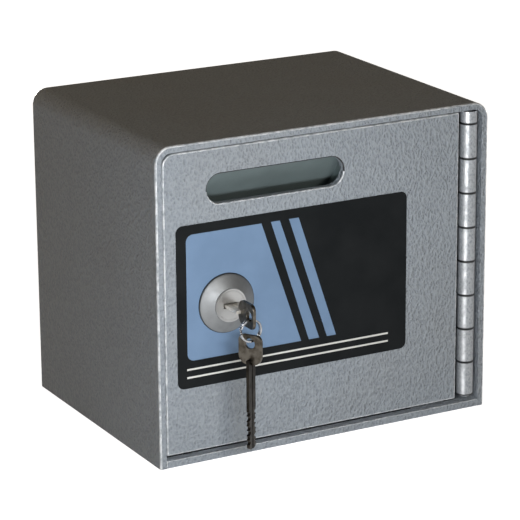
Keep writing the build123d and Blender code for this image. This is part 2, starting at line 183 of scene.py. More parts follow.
def block(name, low, high):
    """A box between two corners."""
    rest()
    low, high = Vector(low), Vector(high)
    bpy.ops.mesh.primitive_cube_add(size=1, location=(low + high) / 2, scale=high - low)
    return settle(name)


def rod(name, middle, radius, sides=64):
    """A round tool that passes through the door, about its middle."""
    rest()
    turn = Vector((0, 1, 0)).to_track_quat("Z", "Y").to_euler()
    bpy.ops.mesh.primitive_cylinder_add(vertices=sides, radius=radius, depth=through,
                                        location=middle, rotation=turn)
    return settle(name)


def middle_of(edge):
    """The middle of an edge."""
    return sum((corner.co for corner in edge.verts), Vector()) / 2


def runs(edge, axis):
    """Whether an edge runs along axis 0, 1 or 2."""
    way = edge.verts[1].co - edge.verts[0].co
    return abs(way[axis]) > 0.999 * way.length


def choose(piece, kind, test=lambda part: True):
    """In edit mode, select the vertices, edges or faces that pass a test."""
    take(piece)
    bpy.ops.object.mode_set(mode="EDIT")
    bpy.ops.mesh.select_mode(type=kind)
    bpy.ops.mesh.select_all(action="DESELECT")
    shape = bmesh.from_edit_mesh(piece.data)
    for part in {"VERT": shape.verts, "EDGE": shape.edges, "FACE": shape.faces}[kind]:
        if test(part):
            part.select_set(True)
    bmesh.update_edit_mesh(piece.data)


def tidy(piece, merge=1e-6):
    """Merge doubles and turn the faces outwards."""
    choose(piece, "VERT")
    bpy.ops.mesh.remove_doubles(threshold=merge)
    bpy.ops.mesh.select_all(action="SELECT")
    bpy.ops.mesh.normals_make_consistent(inside=False)
    rest()


def modify(piece, kind, **settings):
    """Give a piece a modifier and apply it."""
    take(piece)
    made = piece.modifiers.new(kind.title(), kind)
    for name, value in settings.items():
        setattr(made, name, value)
    bpy.ops.object.modifier_apply(modifier=made.name)


def cut(piece, *tools, operation="DIFFERENCE"):
    """Cut tools out of a piece, or keep only what it shares with them."""
    for tool in tools:
        modify(piece, "BOOLEAN", operation=operation, object=tool, solver="EXACT")
        bpy.data.objects.remove(tool)


def two_slots(piece):
    """Two empty material slots: one for the faces and one for the roundings."""
    for _ in range(2):
        piece.data.materials.append(None)


def round_edges(piece, width, segments=3, worn=False):
    """Round every sharp edge. With worn set, the roundings take the piece's second material."""
    if worn:
        two_slots(piece)
    modify(piece, "BEVEL", width=width, segments=segments, limit_method="ANGLE",
           angle_limit=smooth_angle, material=1 if worn else -1)


def turned(name, origin, way, profile, sides=96, closed=True):
    """A turned piece: a circle drawn out from ring to ring along its axis.

    profile gives radius and distance along the way, as a loop, or from cap to cap if not closed.
    """
    rest()
    origin, way = Vector(origin), Vector(way).normalized()
    radius, along = profile[0]
    turn = way.to_track_quat("Z", "Y").to_euler()
    bpy.ops.mesh.primitive_circle_add(vertices=sides, radius=radius, location=origin + along * way,
                                      rotation=turn, fill_type="NOTHING" if closed else "NGON")
    piece = settle(name)
    choose(piece, "EDGE")
    for next_radius, next_along in profile[1:] + (profile[:1] if closed else []):
        bpy.ops.mesh.extrude_region_move(
            TRANSFORM_OT_translate={"value": (next_along - along) * way})
        scale = next_radius / radius
        bpy.ops.transform.resize(value=(scale,) * 3, center_override=origin + next_along * way)
        radius, along = next_radius, next_along
    if not closed:
        bpy.ops.mesh.edge_face_add()
    tidy(piece)
    return piece


def copied(node, name, merge):
    """A merged copy of a node, with its faces turned outwards."""
    piece = bpy.data.objects.new(name, frame["nodes"][node].data.copy())
    bpy.context.scene.collection.objects.link(piece)
    tidy(piece, merge)
    return piece


def softened(node, name, width, segments=2, worn=False):
    """A copy of a node, with flat faces joined and its edges rounded."""
    piece = copied(node, name, merge=2e-6)
    take(piece)
    if piece.data.has_custom_normals:
        bpy.ops.mesh.customdata_custom_splitnormals_clear()
    piece.data.materials.clear()
    choose(piece, "FACE")
    bpy.ops.mesh.dissolve_limited(angle_limit=radians(0.3))
    rest()
    if width:
        round_edges(piece, width, segments, worn)
    return piece


def islands(node):
    """The box of each separate solid in a node."""
    probe = copied(node, "probe", merge=1e-6)
    shape = bmesh.new()
    shape.from_mesh(probe.data)
    waiting, boxes = set(shape.verts), []
    while waiting:
        solid, front = set(), {waiting.pop()}
        while front:
            solid |= front
            front = {e.other_vert(v) for v in front for e in v.link_edges} - solid
        waiting -= solid
        low = Vector([min(v.co[i] for v in solid) for i in range(3)])
        high = Vector([max(v.co[i] for v in solid) for i in range(3)])
        boxes.append((low, high))
    shape.free()
    bpy.data.objects.remove(probe)
    return boxes


def place(piece, body, slot, finish, *nodes, edge=None):
    """Finish a piece: shading, material, the body it rides on and the nodes it stands for."""
    take(piece)
    bpy.ops.object.shade_smooth_by_angle(angle=smooth_angle)
    # Large flat faces stay flat up to their roundings.
    modify(piece, "WEIGHTED_NORMAL", keep_sharp=True, weight=100)
    if edge:
        piece.data.materials[0], piece.data.materials[1] = finish, edge
    else:
        piece.data.materials.clear()
        piece.data.materials.append(finish)
    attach(piece, body)
    if nodes:
        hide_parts(*nodes)
    rest()


# Materials


def add(tree, node, sockets, **settings):
    """Add a node, or take one that is there, with its settings, socket values and links."""
    made = tree.nodes.new("ShaderNode" + node) if isinstance(node, str) else node
    for name, value in settings.items():
        setattr(made, name, value)
    for name, value in sockets.items():
        if isinstance(value, bpy.types.NodeSocket):
            tree.links.new(value, made.inputs[name])
        else:
            made.inputs[name].default_value = value
    return made


def fresh(name):
    """A new material: itself, its tree, its shader and its object coordinates."""
    finish = bpy.data.materials.new(name)
    finish.use_nodes = True
    tree = finish.node_tree
    coordinates = add(tree, "TexCoord", {}).outputs["Object"]
    return finish, tree, tree.nodes["Principled BSDF"], coordinates


def once(make):
    """A material's maker that makes it only the first time that its name is asked for."""

    @wraps(make)
    def named(name, *settings):
        return bpy.data.materials.get(name) or make(name, *settings)

    return named


def opaque(rgb):
    """A colour with its alpha."""
    return (*rgb, 1.0)


@once
def hammered(name, paint, pit, dimple, depth, metallic, roughness, specular):
    """Hammertone enamel: aluminium flake gathers into pits, so the silver looks beaten.

    It was sprayed standing up, so the pits have run a little longer than wide.
    """
    finish, tree, shader, where = fresh(name)
    hung = add(tree, "Mapping", {"Vector": where, "Scale": (1.0, 1.0, 0.7)})
    wander = add(tree, "TexNoise", {"Vector": hung.outputs[0], "Scale": 0.5 / dimple,
                                    "Detail": 2.0})
    shift = add(tree, "VectorMath", {0: wander.outputs["Color"], 1: (0.5, 0.5, 0.5)},
                operation="SUBTRACT")
    warp = add(tree, "VectorMath", {0: shift.outputs[0], 1: (1.6 * dimple,) * 3,
                                    2: hung.outputs[0]}, operation="MULTIPLY_ADD")
    cells = add(tree, "TexVoronoi", {"Vector": warp.outputs[0], "Scale": 1 / dimple,
                                     "Smoothness": 0.5}, feature="SMOOTH_F1")
    grain = add(tree, "TexNoise", {"Vector": hung.outputs[0], "Scale": 1.7 / dimple,
                                   "Detail": 3.0})
    height = add(tree, "Math", {0: grain.outputs["Fac"], 1: 0.7, 2: cells.outputs["Distance"]},
                 operation="MULTIPLY_ADD")
    shade = add(tree, "MapRange", {"Value": height.outputs[0], "From Min": 0.5,
                                   "From Max": 1.0})
    tone = add(tree, "Mix", {0: shade.outputs[0], 6: opaque(pit), 7: opaque(paint)},
               data_type="RGBA")
    # Handling leaves a faint warm film in patches, nine to the metre.
    patches = add(tree, "TexNoise", {"Vector": where, "Scale": 9.0, "Detail": 3.0})
    film = add(tree, "MapRange", {"Value": patches.outputs["Fac"], "From Min": 0.5,
                                  "From Max": 0.75, "To Max": 0.14})
    warm = add(tree, "Mix", {0: film.outputs[0], 6: tone.outputs[2], 7: opaque(tones().film)},
               data_type="RGBA")
    gloss = add(tree, "MapRange", {"Value": patches.outputs["Fac"],
                                   "To Min": roughness - 0.06, "To Max": roughness + 0.08})
    bump = add(tree, "Bump", {"Height": height.outputs[0], "Distance": depth, "Strength": 1.0})
    add(tree, shader, {"Base Color": warm.outputs[2], "Roughness": gloss.outputs[0],
                       "Normal": bump.outputs[0], "Metallic": metallic,
                       "Specular IOR Level": specular})
    return finish


def box_paint():
    """The box and the door: silver hammertone enamel sprayed on steel."""
    return hammered("hammertone_enamel", tones().paint, tones().paint_pit, sizes().dimple,
                    sizes().dimple_depth, 0.0, 0.36, 0.03)


@once
def hinge_paint(name):
    """The hinge: the same enamel in a thinner coat, with painted light on the knuckles.

    A painted highlight runs down the knuckles as a patchy streak of bright metallic steel. Painted
    shade darkens the joints between them and the rims beside them.
    """
    thin_metallic, highlight_metallic = 0.1, 0.85
    finish = hammered(name, tones().hinge, tones().hinge_pit, 1.6 * mm, 0.2 * mm, thin_metallic,
                      0.4, 0.3)
    tree = finish.node_tree
    shader = tree.nodes["Principled BSDF"]
    where = tree.nodes["Texture Coordinate"].outputs["Object"]
    coat = shader.inputs["Base Color"].links[0].from_socket

    # Places on the hinge, from its axis and from the joint under the short top knuckle.
    short_knuckle, full_knuckles, knuckle_radius = 9.1 * mm, 8, 6.1 * mm
    pin_low, pin_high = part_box("hinge_pin")
    leaf_low, leaf_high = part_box("body_leaf")
    pitch = (leaf_high.z - leaf_low.z - short_knuckle) / full_knuckles
    first_joint = (pin_low + pin_high) / 2
    first_joint.z = leaf_high.z - short_knuckle
    offset = add(tree, "VectorMath", {0: where, 1: first_joint}, operation="SUBTRACT")
    part = add(tree, "SeparateXYZ", {"Vector": offset.outputs[0]})

    # Painted highlight: a bright metallic streak down the knuckles, 4.1 mm left of the axis, in
    # patches.
    highlight_streak_left = 4.1 * mm
    off = add(tree, "Math", {0: part.outputs["X"], 1: highlight_streak_left}, operation="ADD")
    away = add(tree, "Math", {0: off.outputs[0]}, operation="ABSOLUTE")
    line = add(tree, "MapRange", {"Value": away.outputs[0], "From Min": 0.3 * mm,
                                  "From Max": 1.6 * mm, "To Min": 1.0, "To Max": 0.0})
    highlight_mottle = add(tree, "TexNoise", {"Vector": where, "Scale": 1 / (5 * mm), "Detail": 3.0})
    highlight_patches = add(tree, "MapRange", {"Value": highlight_mottle.outputs["Fac"], "From Min": 0.32,
                                  "From Max": 0.6, "To Min": 0.25})
    share = add(tree, "Math", {0: line.outputs[0], 1: highlight_patches.outputs[0]}, operation="MULTIPLY")
    tone = add(tree, "Mix", {0: share.outputs[0], 6: coat, 7: opaque(tones().painted_highlight_steel)},
               data_type="RGBA")
    metal = add(tree, "MapRange", {"Value": share.outputs[0], "To Min": thin_metallic,
                                   "To Max": highlight_metallic})

    # Painted shade: the joints between the knuckles and the rims beside them go dark.
    joint = add(tree, "Math", {0: part.outputs["Z"], 1: pitch / 2}, operation="PINGPONG")
    beside = add(tree, "MapRange", {"Value": joint.outputs[0], "From Min": 0.5 * mm,
                                    "From Max": 1.2 * mm})
    flat = add(tree, "CombineXYZ", {"X": part.outputs["X"], "Y": part.outputs["Y"]})
    reach = add(tree, "VectorMath", {0: flat.outputs[0]}, operation="LENGTH")
    beyond = add(tree, "MapRange", {"Value": reach.outputs["Value"],
                                    "From Min": knuckle_radius + 0.1 * mm,
                                    "From Max": knuckle_radius + 0.5 * mm})
    away_from_joints = add(tree, "Math", {0: beside.outputs[0], 1: beyond.outputs[0]}, operation="MAXIMUM")
    joint_shade_tone = add(tree, "Mix", {0: away_from_joints.outputs[0], 6: opaque(tones().shade_black),
                              7: tone.outputs[2]}, data_type="RGBA")
    shiny = add(tree, "Math", {0: away_from_joints.outputs[0], 1: metal.outputs[0]}, operation="MULTIPLY")
    add(tree, shader, {"Base Color": joint_shade_tone.outputs[2], "Metallic": shiny.outputs[0]})
    return finish


@once
def worn_and_highlit_edges(name):
    """Roundings: the enamel is worn thin and lighter there, which also paints a highlight along
    each edge.
    """
    finish, tree, shader, where = fresh(name)
    gaps = add(tree, "TexNoise", {"Vector": where, "Scale": 1 / (5 * mm), "Detail": 3.0})
    share = add(tree, "MapRange", {"Value": gaps.outputs["Fac"], "From Min": 0.35,
                                   "From Max": 0.6})
    tone = add(tree, "Mix", {0: share.outputs[0], 6: opaque(tones().paint),
                             7: opaque(tones().edge_wear_and_highlight)}, data_type="RGBA")
    bump = add(tree, "Bump", {"Height": gaps.outputs["Fac"], "Distance": 0.1 * mm})
    add(tree, shader, {"Base Color": tone.outputs[2], "Normal": bump.outputs[0],
                       "Metallic": 0.15, "Roughness": 0.36})
    return finish


@once
def smooth_enamel(name, rgb):
    """Fittings inside: one thin coat of plain enamel with orange peel 1.2 mm across."""
    finish, tree, shader, where = fresh(name)
    peel = add(tree, "TexNoise", {"Vector": where, "Scale": 1 / (1.2 * mm), "Detail": 2.0})
    # The coat dims in blotches, thirty to the metre.
    blotch = add(tree, "TexNoise", {"Vector": where, "Scale": 30.0, "Detail": 4.0})
    share = add(tree, "MapRange", {"Value": blotch.outputs["Fac"], "From Min": 0.3,
                                   "From Max": 0.7})
    dim = [0.72 * c for c in rgb]
    tone = add(tree, "Mix", {0: share.outputs[0], 6: opaque(dim), 7: opaque(rgb)},
               data_type="RGBA")
    bump = add(tree, "Bump", {"Height": peel.outputs["Fac"], "Distance": 0.05 * mm})
    add(tree, shader, {"Base Color": tone.outputs[2], "Normal": bump.outputs[0],
                       "Metallic": 0.15, "Roughness": 0.45})
    return finish


@once
def printed_sheet(name, rgb, roughness):
    """Screen-printed aluminium sheet: a satin ink with the fine tooth of the mesh, 0.35 mm."""
    finish, tree, shader, where = fresh(name)
    tooth = add(tree, "TexNoise", {"Vector": where, "Scale": 1 / (0.35 * mm),
                                   "Detail": 1.0})
    # Wiping has paled the ink in patches, 45 to the metre.
    rub = add(tree, "TexNoise", {"Vector": where, "Scale": 45.0, "Detail": 5.0})
    share = add(tree, "MapRange", {"Value": rub.outputs["Fac"], "From Min": 0.35,
                                   "From Max": 0.75})
    worn = [min(1.0, c * 1.12 + 0.004) for c in rgb]
    tone = add(tree, "Mix", {0: share.outputs[0], 6: opaque(rgb), 7: opaque(worn)},
               data_type="RGBA")
    gloss = add(tree, "MapRange", {"Value": rub.outputs["Fac"],
                                   "To Min": roughness - 0.07, "To Max": roughness + 0.07})
    bump = add(tree, "Bump", {"Height": tooth.outputs["Fac"], "Distance": 0.01 * mm,
                              "Strength": 0.6})
    add(tree, shader, {"Base Color": tone.outputs[2], "Roughness": gloss.outputs[0],
                       "Normal": bump.outputs[0], "Specular IOR Level": 0.06})
    return finish


@once
def turned_metal(name, rgb, roughness):
    """Lathe-turned metal: faint rings round the lock's axis catch the light.

    At their scale of 100 the rings lie 3.1 mm apart, coarser than a lathe's, so that they show.
    """
    finish, tree, shader, where = fresh(name)
    centred = add(tree, "Mapping", {"Vector": where, "Location": -lock_axis()})
    rings = add(tree, "TexWave", {"Vector": centred.outputs[0], "Scale": 100.0,
                                  "Distortion": 0.6, "Detail": 2.0, "Detail Scale": 2.0},
                wave_type="RINGS", rings_direction="Y")
    # Finger marks, 160 to the metre.
    smudge = add(tree, "TexNoise", {"Vector": where, "Scale": 160.0, "Detail": 4.0})
    gloss = add(tree, "MapRange", {"Value": smudge.outputs["Fac"],
                                   "To Min": roughness - 0.08, "To Max": roughness + 0.1})
    share = add(tree, "MapRange", {"Value": smudge.outputs["Fac"], "From Min": 0.4,
                                   "From Max": 0.8, "To Max": 0.5})
    dim = [0.8 * c for c in rgb]
    tone = add(tree, "Mix", {0: share.outputs[0], 6: opaque(rgb), 7: opaque(dim)},
               data_type="RGBA")
    bump = add(tree, "Bump", {"Height": rings.outputs["Fac"], "Distance": 0.012 * mm,
                              "Strength": 0.5})
    add(tree, shader, {"Base Color": tone.outputs[2], "Roughness": gloss.outputs[0],
                       "Normal": bump.outputs[0], "Metallic": 1.0})
    return finish


@once
def plated(name, rgb, roughness, grit, dirt):
    """Plated metal that has been handled: scratches along its length, and dull patches.

    grit is the width of one scratch.
    """
    finish, tree, shader, where = fresh(name)
    stretched = add(tree, "Mapping", {"Vector": where, "Scale": (1.0, 1.0, 0.12)})
    scratch = add(tree, "TexNoise", {"Vector": stretched.outputs[0], "Scale": 1 / grit,
                                     "Detail": 3.0, "Roughness": 0.7})
    # Dull patches, 220 to the metre.
    patch = add(tree, "TexNoise", {"Vector": where, "Scale": 220.0, "Detail": 4.0})
    share = add(tree, "MapRange", {"Value": patch.outputs["Fac"], "From Min": 0.42,
                                   "From Max": 0.68})
    tone = add(tree, "Mix", {0: share.outputs[0], 6: opaque(rgb), 7: opaque(dirt)},
               data_type="RGBA")
    gloss = add(tree, "MapRange", {"Value": patch.outputs["Fac"],
                                   "To Min": roughness - 0.08, "To Max": roughness + 0.14})
    bump = add(tree, "Bump", {"Height": scratch.outputs["Fac"], "Distance": 0.02 * mm,
                              "Strength": 0.5})
    add(tree, shader, {"Base Color": tone.outputs[2], "Roughness": gloss.outputs[0],
                       "Normal": bump.outputs[0], "Metallic": 1.0})
    return finish


def lock_axis():
    """A point on the lock's axis, in the face of the door."""
    low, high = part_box("escutcheon")
    return Vector(((low.x + high.x) / 2, high.y, (low.z + high.z) / 2))


def painted_shade_enamel():
    """Painted shade: thin black enamel with little shine, on the door stops and in gaps, as their
    shadow.
    """
    return smooth_enamel("painted_shade_enamel", tones().shade_black)


def rose_metal():
    """The escutcheon: satin nickel on turned brass, rough enough to spread a light wide."""
    return turned_metal("satin_nickel", tones().rose, 0.56)


def rim_in_painted_shade():
    """Its rim: the same nickel, made darker as painted shade round the edge."""
    return turned_metal("nickel_darkened_as_rim_shade", tones().rim_shade, 0.5)


def lock_metal():
    """The housing and the plug: satin chrome on turned brass, the brighter of the two."""
    return turned_metal("satin_chrome", tones().lock, 0.36)


def zinc_plate():
    """Nuts and cam: bright zinc on steel, gone patchy."""
    return plated("zinc_plated_steel", tones().zinc, 0.36, 0.4 * mm,
                  [0.7 * c for c in tones().zinc])


def key_nickel():
    """Keys: nickel on brass, browned by years in a pocket."""
    return plated("nickel_plated_brass", tones().key, 0.38, 0.3 * mm, tones().key_dirt)


def key_in_painted_highlight():
    """The blade in the lock: the same nickel, made bright as a painted highlight, in patches."""
    return plated("nickel_with_painted_highlight", tones().key_highlight, 0.45, 0.3 * mm,
                  tones().key_highlight_patches)


def key_in_painted_shade():
    """The spare's blade: the same nickel, made nearly black as painted shade."""
    return plated("nickel_in_painted_shade", tones().spare, 0.38, 0.3 * mm, tones().spare_shade_patches)


def ring_steel():
    """Key ring: bright tempered steel wire, smooth enough for small sharp sparks."""
    return plated("tempered_steel_wire", tones().ring, 0.14, 0.25 * mm, tones().ring_dirt)


def painted(piece, body, node):
    """Place a box or door piece: hammertone, its roundings lighter as wear and painted highlight.
    """
    place(piece, body, "hammered_paint", box_paint(), node,
          edge=worn_and_highlit_edges("enamel_worn_and_highlit_on_edges"))


# Stage

# The camera, solved from the box's edges in the photograph: metres, degrees and millimetres.
camera_spot = (-0.8991, -1.6461, 0.6782)
camera_turn = (73.02053, 0.39778, -28.79684)
camera_lens = 184.8

# Where all the lamps aim. Then each one's place, width and height in metres, watts and tint.
lamps_aim = Vector((0, -0.1, 0.11))
lamps = (
    # A strip close to the front, level with its top: the light falls off to the lower right.
    ("key_light", (-0.2, -0.49, 0.2), 0.17, 0.055, 1.36, "FCFDFF"),
    # A soft box in front, high enough to reach behind the slot.
    ("front_light", (-0.05, -1.6, 0.7), 0.3, 0.2, 7.1, "FFF9F0"),
    # A small lamp that sparks on metal.
    ("spark_light", (-0.75, -0.7, 0.52), 0.12, 0.25, 0.2, "FFFFFF"),
    # One behind that draws a line along the bend.
    ("bend_light", (-0.8, 2.1, 1.2), 0.6, 0.6, 12.5, "FFE4C0"),
    # Two that show the back and the right side, low enough to leave the top dark.
    ("back_light", (0.4, 3.0, 0.12), 1.0, 0.18, 45.0, "FFFFFF"),
    ("right_light", (2.4, 0.5, 0.12), 0.8, 0.18, 15.0, "FFFFFF"),
)


def pale_floor():
    """The floor: matt, and white where it is seen straight on or in metal.

    It still takes a shadow.
    """
    finish = bpy.data.materials.new("pale_floor")
    finish.use_nodes = True
    tree = finish.node_tree
    shader = tree.nodes["Principled BSDF"]
    add(tree, shader, {"Base Color": opaque(tones().floor), "Roughness": 0.9,
                       "Specular IOR Level": 0.1})
    path = add(tree, "LightPath", {})
    sight = add(tree, "Math", {0: path.outputs["Is Camera Ray"],
                               1: path.outputs["Is Glossy Ray"]}, operation="MAXIMUM")
    seen = add(tree, "Math", {0: sight.outputs[0],
                              1: path.outputs["Is Transmission Ray"]}, operation="MAXIMUM")
    glow = add(tree, "Emission", {"Color": (1, 1, 1, 1), "Strength": 0.93})
    nothing = add(tree, "Emission", {"Strength": 0.0})
    pick = add(tree, "MixShader", {0: seen.outputs[0], 1: nothing.outputs[0],
                                   2: glow.outputs[0]})
    both = add(tree, "AddShader", {0: shader.outputs[0], 1: pick.outputs[0]})
    add(tree, tree.nodes["Material Output"], {"Surface": both.outputs[0]})
    return finish


# Pieces


class DROPBOX_OT_stage(bpy.types.Operator):
    """Floor, light and the camera at the photograph's angle"""

    bl_idname = "drop_box.stage"
    bl_label = "Stage"

    def execute(self, context):
        rest()
        bpy.ops.mesh.primitive_plane_add(size=16, location=(0, 0, 0))
        floor = settle("floor")
        floor.data.materials.append(pale_floor())

        world = bpy.data.worlds.new("dim_room")
        world.use_nodes = True
        background = world.node_tree.nodes["Background"]
        add(world.node_tree, background, {"Color": (0.07, 0.052, 0.034, 1), "Strength": 1.0})
        bpy.context.scene.world = world

        rest()
        for name, spot, wide, tall, power, tint in lamps:
            aim = lamps_aim - Vector(spot)
            bpy.ops.object.light_add(type="AREA", location=spot,
                                     rotation=aim.to_track_quat("-Z", "Y").to_euler())
            lamp = bpy.context.object
            lamp.name = name
            lamp.data.shape = "RECTANGLE"
            lamp.data.size = wide
            lamp.data.size_y = tall
            lamp.data.energy = power
            lamp.data.color = linear(tint)
            lamp.visible_camera = False

        rest()
        bpy.ops.object.camera_add(location=camera_spot,
                                  rotation=[radians(angle) for angle in camera_turn])
        camera = bpy.context.object
        camera.data.sensor_width = 36
        camera.data.lens = camera_lens
        bpy.context.scene.camera = camera
        bpy.context.scene.view_settings.view_transform = "Standard"
        return {"FINISHED"}


class DROPBOX_OT_shell(bpy.types.Operator):
    """The shell: one plate bent into an upturned U"""

    bl_idname = "drop_box.shell"
    bl_label = "Shell"

    def execute(self, context):
        low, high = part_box("shell")
        bend = sizes().shell_bend
        skin = 0.1 * mm
        piece = block("shell_plate", low, high)
        choose(piece, "FACE", lambda f: abs(f.normal.y) > 0.9 or f.normal.z < -0.9)
        bpy.ops.mesh.delete(type="FACE")
        choose(piece, "EDGE", lambda e: runs(e, 1) and middle_of(e).z > high.z - over)
        bpy.ops.mesh.bevel(offset=bend, segments=14, affect="EDGES")
        modify(piece, "SOLIDIFY", thickness=sizes().shell_plate, offset=-1.0,
               use_even_offset=True)
        tidy(piece)
        two_slots(piece)

        def outside(corner):
            """Whether a corner lies on the outer skin of the U."""
            x = max(abs(corner.co.x) - (high.x - bend), 0)
            z = max(corner.co.z - (high.z - bend), 0)
            return max(abs(corner.co.x) - high.x, (x * x + z * z) ** 0.5 - bend,
                       corner.co.z - high.z) > -skin

        choose(piece, "EDGE", lambda e: not runs(e, 1) and all(map(outside, e.verts))
               and e.calc_face_angle(0) > smooth_angle)
        bpy.ops.mesh.bevel(offset=sizes().shell_edge, segments=3, affect="EDGES", material=1)
        rest()
        round_edges(piece, sizes().shell_inner_edge, 2)
        painted(piece, "box", "shell")
        return {"FINISHED"}


class DROPBOX_OT_panels(bpy.types.Operator):
    """Base and back, with their anchor holes"""

    bl_idname = "drop_box.panels"
    bl_label = "Base and back"

    def execute(self, context):
        for node, name in (("base_panel", "base_plate"), ("back_panel", "back_plate")):
            painted(softened(node, name, 0.5 * mm, worn=True), "box", node)
        return {"FINISHED"}


class DROPBOX_OT_door(bpy.types.Operator):
    """The door, with its slot and the hole for the lock"""

    bl_idname = "drop_box.door"
    bl_label = "Door"

    def execute(self, context):
        low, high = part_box("door_panel")
        piece = block("door_plate", low, high)
        choose(piece, "EDGE", lambda e: runs(e, 1) and middle_of(e).x < 0
               and middle_of(e).z > high.z - over)
        bpy.ops.mesh.bevel(offset=sizes().door_corner, segments=10, affect="EDGES")
        # The slot goes where the frame's record has it.
        openings = frame["record"]["physics"]["openings"]
        slot_box = next(o["box_m"] for o in openings if o["name"] == "deposit_slot")
        x, z = ((slot_box[0][i] + slot_box[1][i]) / 2 for i in (0, 2))
        half_length, half_height = sizes().slot_length / 2, sizes().slot_height / 2
        slot = block("slot_tool", (x - half_length, low.y - over, z - half_height),
                     (x + half_length, high.y + over, z + half_height))
        choose(slot, "EDGE", lambda e: runs(e, 1))
        bpy.ops.mesh.bevel(offset=half_height * 0.999, segments=16, affect="EDGES")
        barrel_hole, slack = 11.7 * mm, 0.1 * mm
        round_edges(piece, sizes().door_edge, worn=True)
        cut(piece, slot, rod("barrel_tool", lock_axis(), barrel_hole))
        tidy(piece)
        choose(piece, "EDGE", lambda e: abs(middle_of(e).x - x) < half_length + slack
               and abs(middle_of(e).z - z) < half_height + slack and not runs(e, 1)
               and e.calc_face_angle(0) > smooth_angle)
        bpy.ops.mesh.bevel(offset=sizes().slot_edge, segments=3, affect="EDGES", material=1)
        rest()
        # The lower lip of the slot keeps the lighter edge paint: worn paint and a painted
        # highlight. The upper lip is painted black as shade.
        piece.data.materials.append(painted_shade_enamel())
        lip = slack + sizes().slot_edge
        for face in piece.data.polygons:
            across, above = face.center.x - x, face.center.z - z
            if (face.material_index and abs(across) < half_length + lip
                    and -0.1 * half_height < above < half_height + lip):
                face.material_index = 2
        painted(piece, "door", "door_panel")
        return {"FINISHED"}


def four_cornered(name, face, corners):
    """A flat sheet in the plane y = face: lower left and right, then upper right and left."""
    rest()
    bpy.ops.mesh.primitive_plane_add(size=1, location=(0, face, 0), rotation=(pi / 2, 0, 0))
    piece = settle(name)
    # A corner that hasn't moved yet still lies far outside the door.
    far = 0.4
    for (x, z), (side, level) in zip(corners, ((-1, -1), (1, -1), (1, 1), (-1, 1))):
        choose(piece, "VERT", lambda v: v.co.x * side > far and v.co.z * level > far)
        spot = next(v.co.copy() for v in bmesh.from_edit_mesh(piece.data).verts if v.select)
        bpy.ops.transform.translate(value=Vector((x, face, z)) - spot)
    rest()
    return piece


class DROPBOX_OT_badge(bpy.types.Operator):
    """The badge plate, with a plain field, two broad stripes and two fine lines"""

    bl_idname = "drop_box.badge"
    bl_label = "Badge"

    def execute(self, context):
        low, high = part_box("badge_plate")
        lock_hole, field_hole = 12.5 * mm, 21.3 * mm
        plate = block("badge_sheet", low, high)
        choose(plate, "EDGE", lambda e: runs(e, 1))
        bpy.ops.mesh.bevel(offset=sizes().badge_corner, segments=8, affect="EDGES")
        cut(plate, rod("badge_tool", lock_axis(), lock_hole))
        tidy(plate)
        round_edges(plate, 0.12 * mm, 2)
        ground = printed_sheet("black_screen_ink", tones().badge, 0.42)
        place(plate, "door", "badge_sheet", ground, "badge_plate")

        # Corners in millimetres from the box's left side and the floor.
        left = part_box("shell")[0].x
        blue = printed_sheet("blue_screen_ink", tones().field, 0.4)
        pale = printed_sheet("pale_screen_ink", tones().fine_line, 0.4)
        foot, top, field_left, field_corner = 76.0, 166.4, 22.0, 5.2
        line_left, line_right, line = 21.5, 183.0, sizes().pinstripe / mm
        areas = [("field", blue, (field_left, foot), (111.7, foot), (80.5, top),
                  (field_left, top)),
                 ("stripe_near", blue, (118.0, foot), (126.3, foot), (95.0, top), (88.0, top)),
                 ("stripe_far", blue, (132.6, foot), (140.0, foot), (110.0, top), (102.3, top))]
        for name, z in (("fine_line_upper", 69.2), ("fine_line_lower", 63.4)):
            areas.append((name, pale, (line_left, z), (line_right, z), (line_right, z + line),
                          (line_left, z + line)))
        for name, ink, *corners in areas:
            piece = four_cornered(name, low.y, [(left + x * mm, z * mm) for x, z in corners])
            if name == "field":
                choose(piece, "VERT", lambda v: v.co.x < left + (field_left + 8) * mm)
                bpy.ops.mesh.bevel(offset=field_corner * mm, segments=8, affect="VERTICES")
                rest()
            modify(piece, "SOLIDIFY", thickness=sizes().ink, offset=0.0)
            choose(piece, "FACE")
            bpy.ops.transform.translate(value=(0, -sizes().ink / 2, 0))
            tidy(piece)
            if name == "field":
                cut(piece, rod("field_tool", lock_axis(), field_hole, 96))
            place(piece, "door", "badge_sheet", ink)
        return {"FINISHED"}


class DROPBOX_OT_hinge(bpy.types.Operator):
    """The continuous hinge: two knuckled leaves, their pin and the strip behind them"""

    bl_idname = "drop_box.hinge"
    bl_label = "Hinge"

    def execute(self, context):
        paint = hinge_paint("hammertone_on_hinge")
        knuckles_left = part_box("body_leaf")[0].x
        for node, name, body in (("body_leaf", "hinge_leaf_fixed", "box"),
                                 ("door_leaf", "hinge_leaf_door", "door")):
            piece = softened(node, name, 0.5 * mm, 3, worn=True)
            # Painted shade: the knuckles are black at their ends, and the leaves where they face
            # front, as the shadow in the gaps.
            for face in piece.data.polygons:
                if face.center.x > knuckles_left:
                    face.material_index = int(abs(face.normal.z) > 0.25)
                else:
                    face.material_index = int(face.normal.y < -0.3)
            place(piece, body, "hinge_paint", paint, node, edge=painted_shade_enamel())
        place(softened("hinge_pin", "hinge_rod", 0.3 * mm), "box", "hinge_paint", paint,
              "hinge_pin")
        place(softened("packing_strip", "packing_bar", 0.4 * mm), "box", "inner_paint",
              box_paint(), "packing_strip")
        return {"FINISHED"}


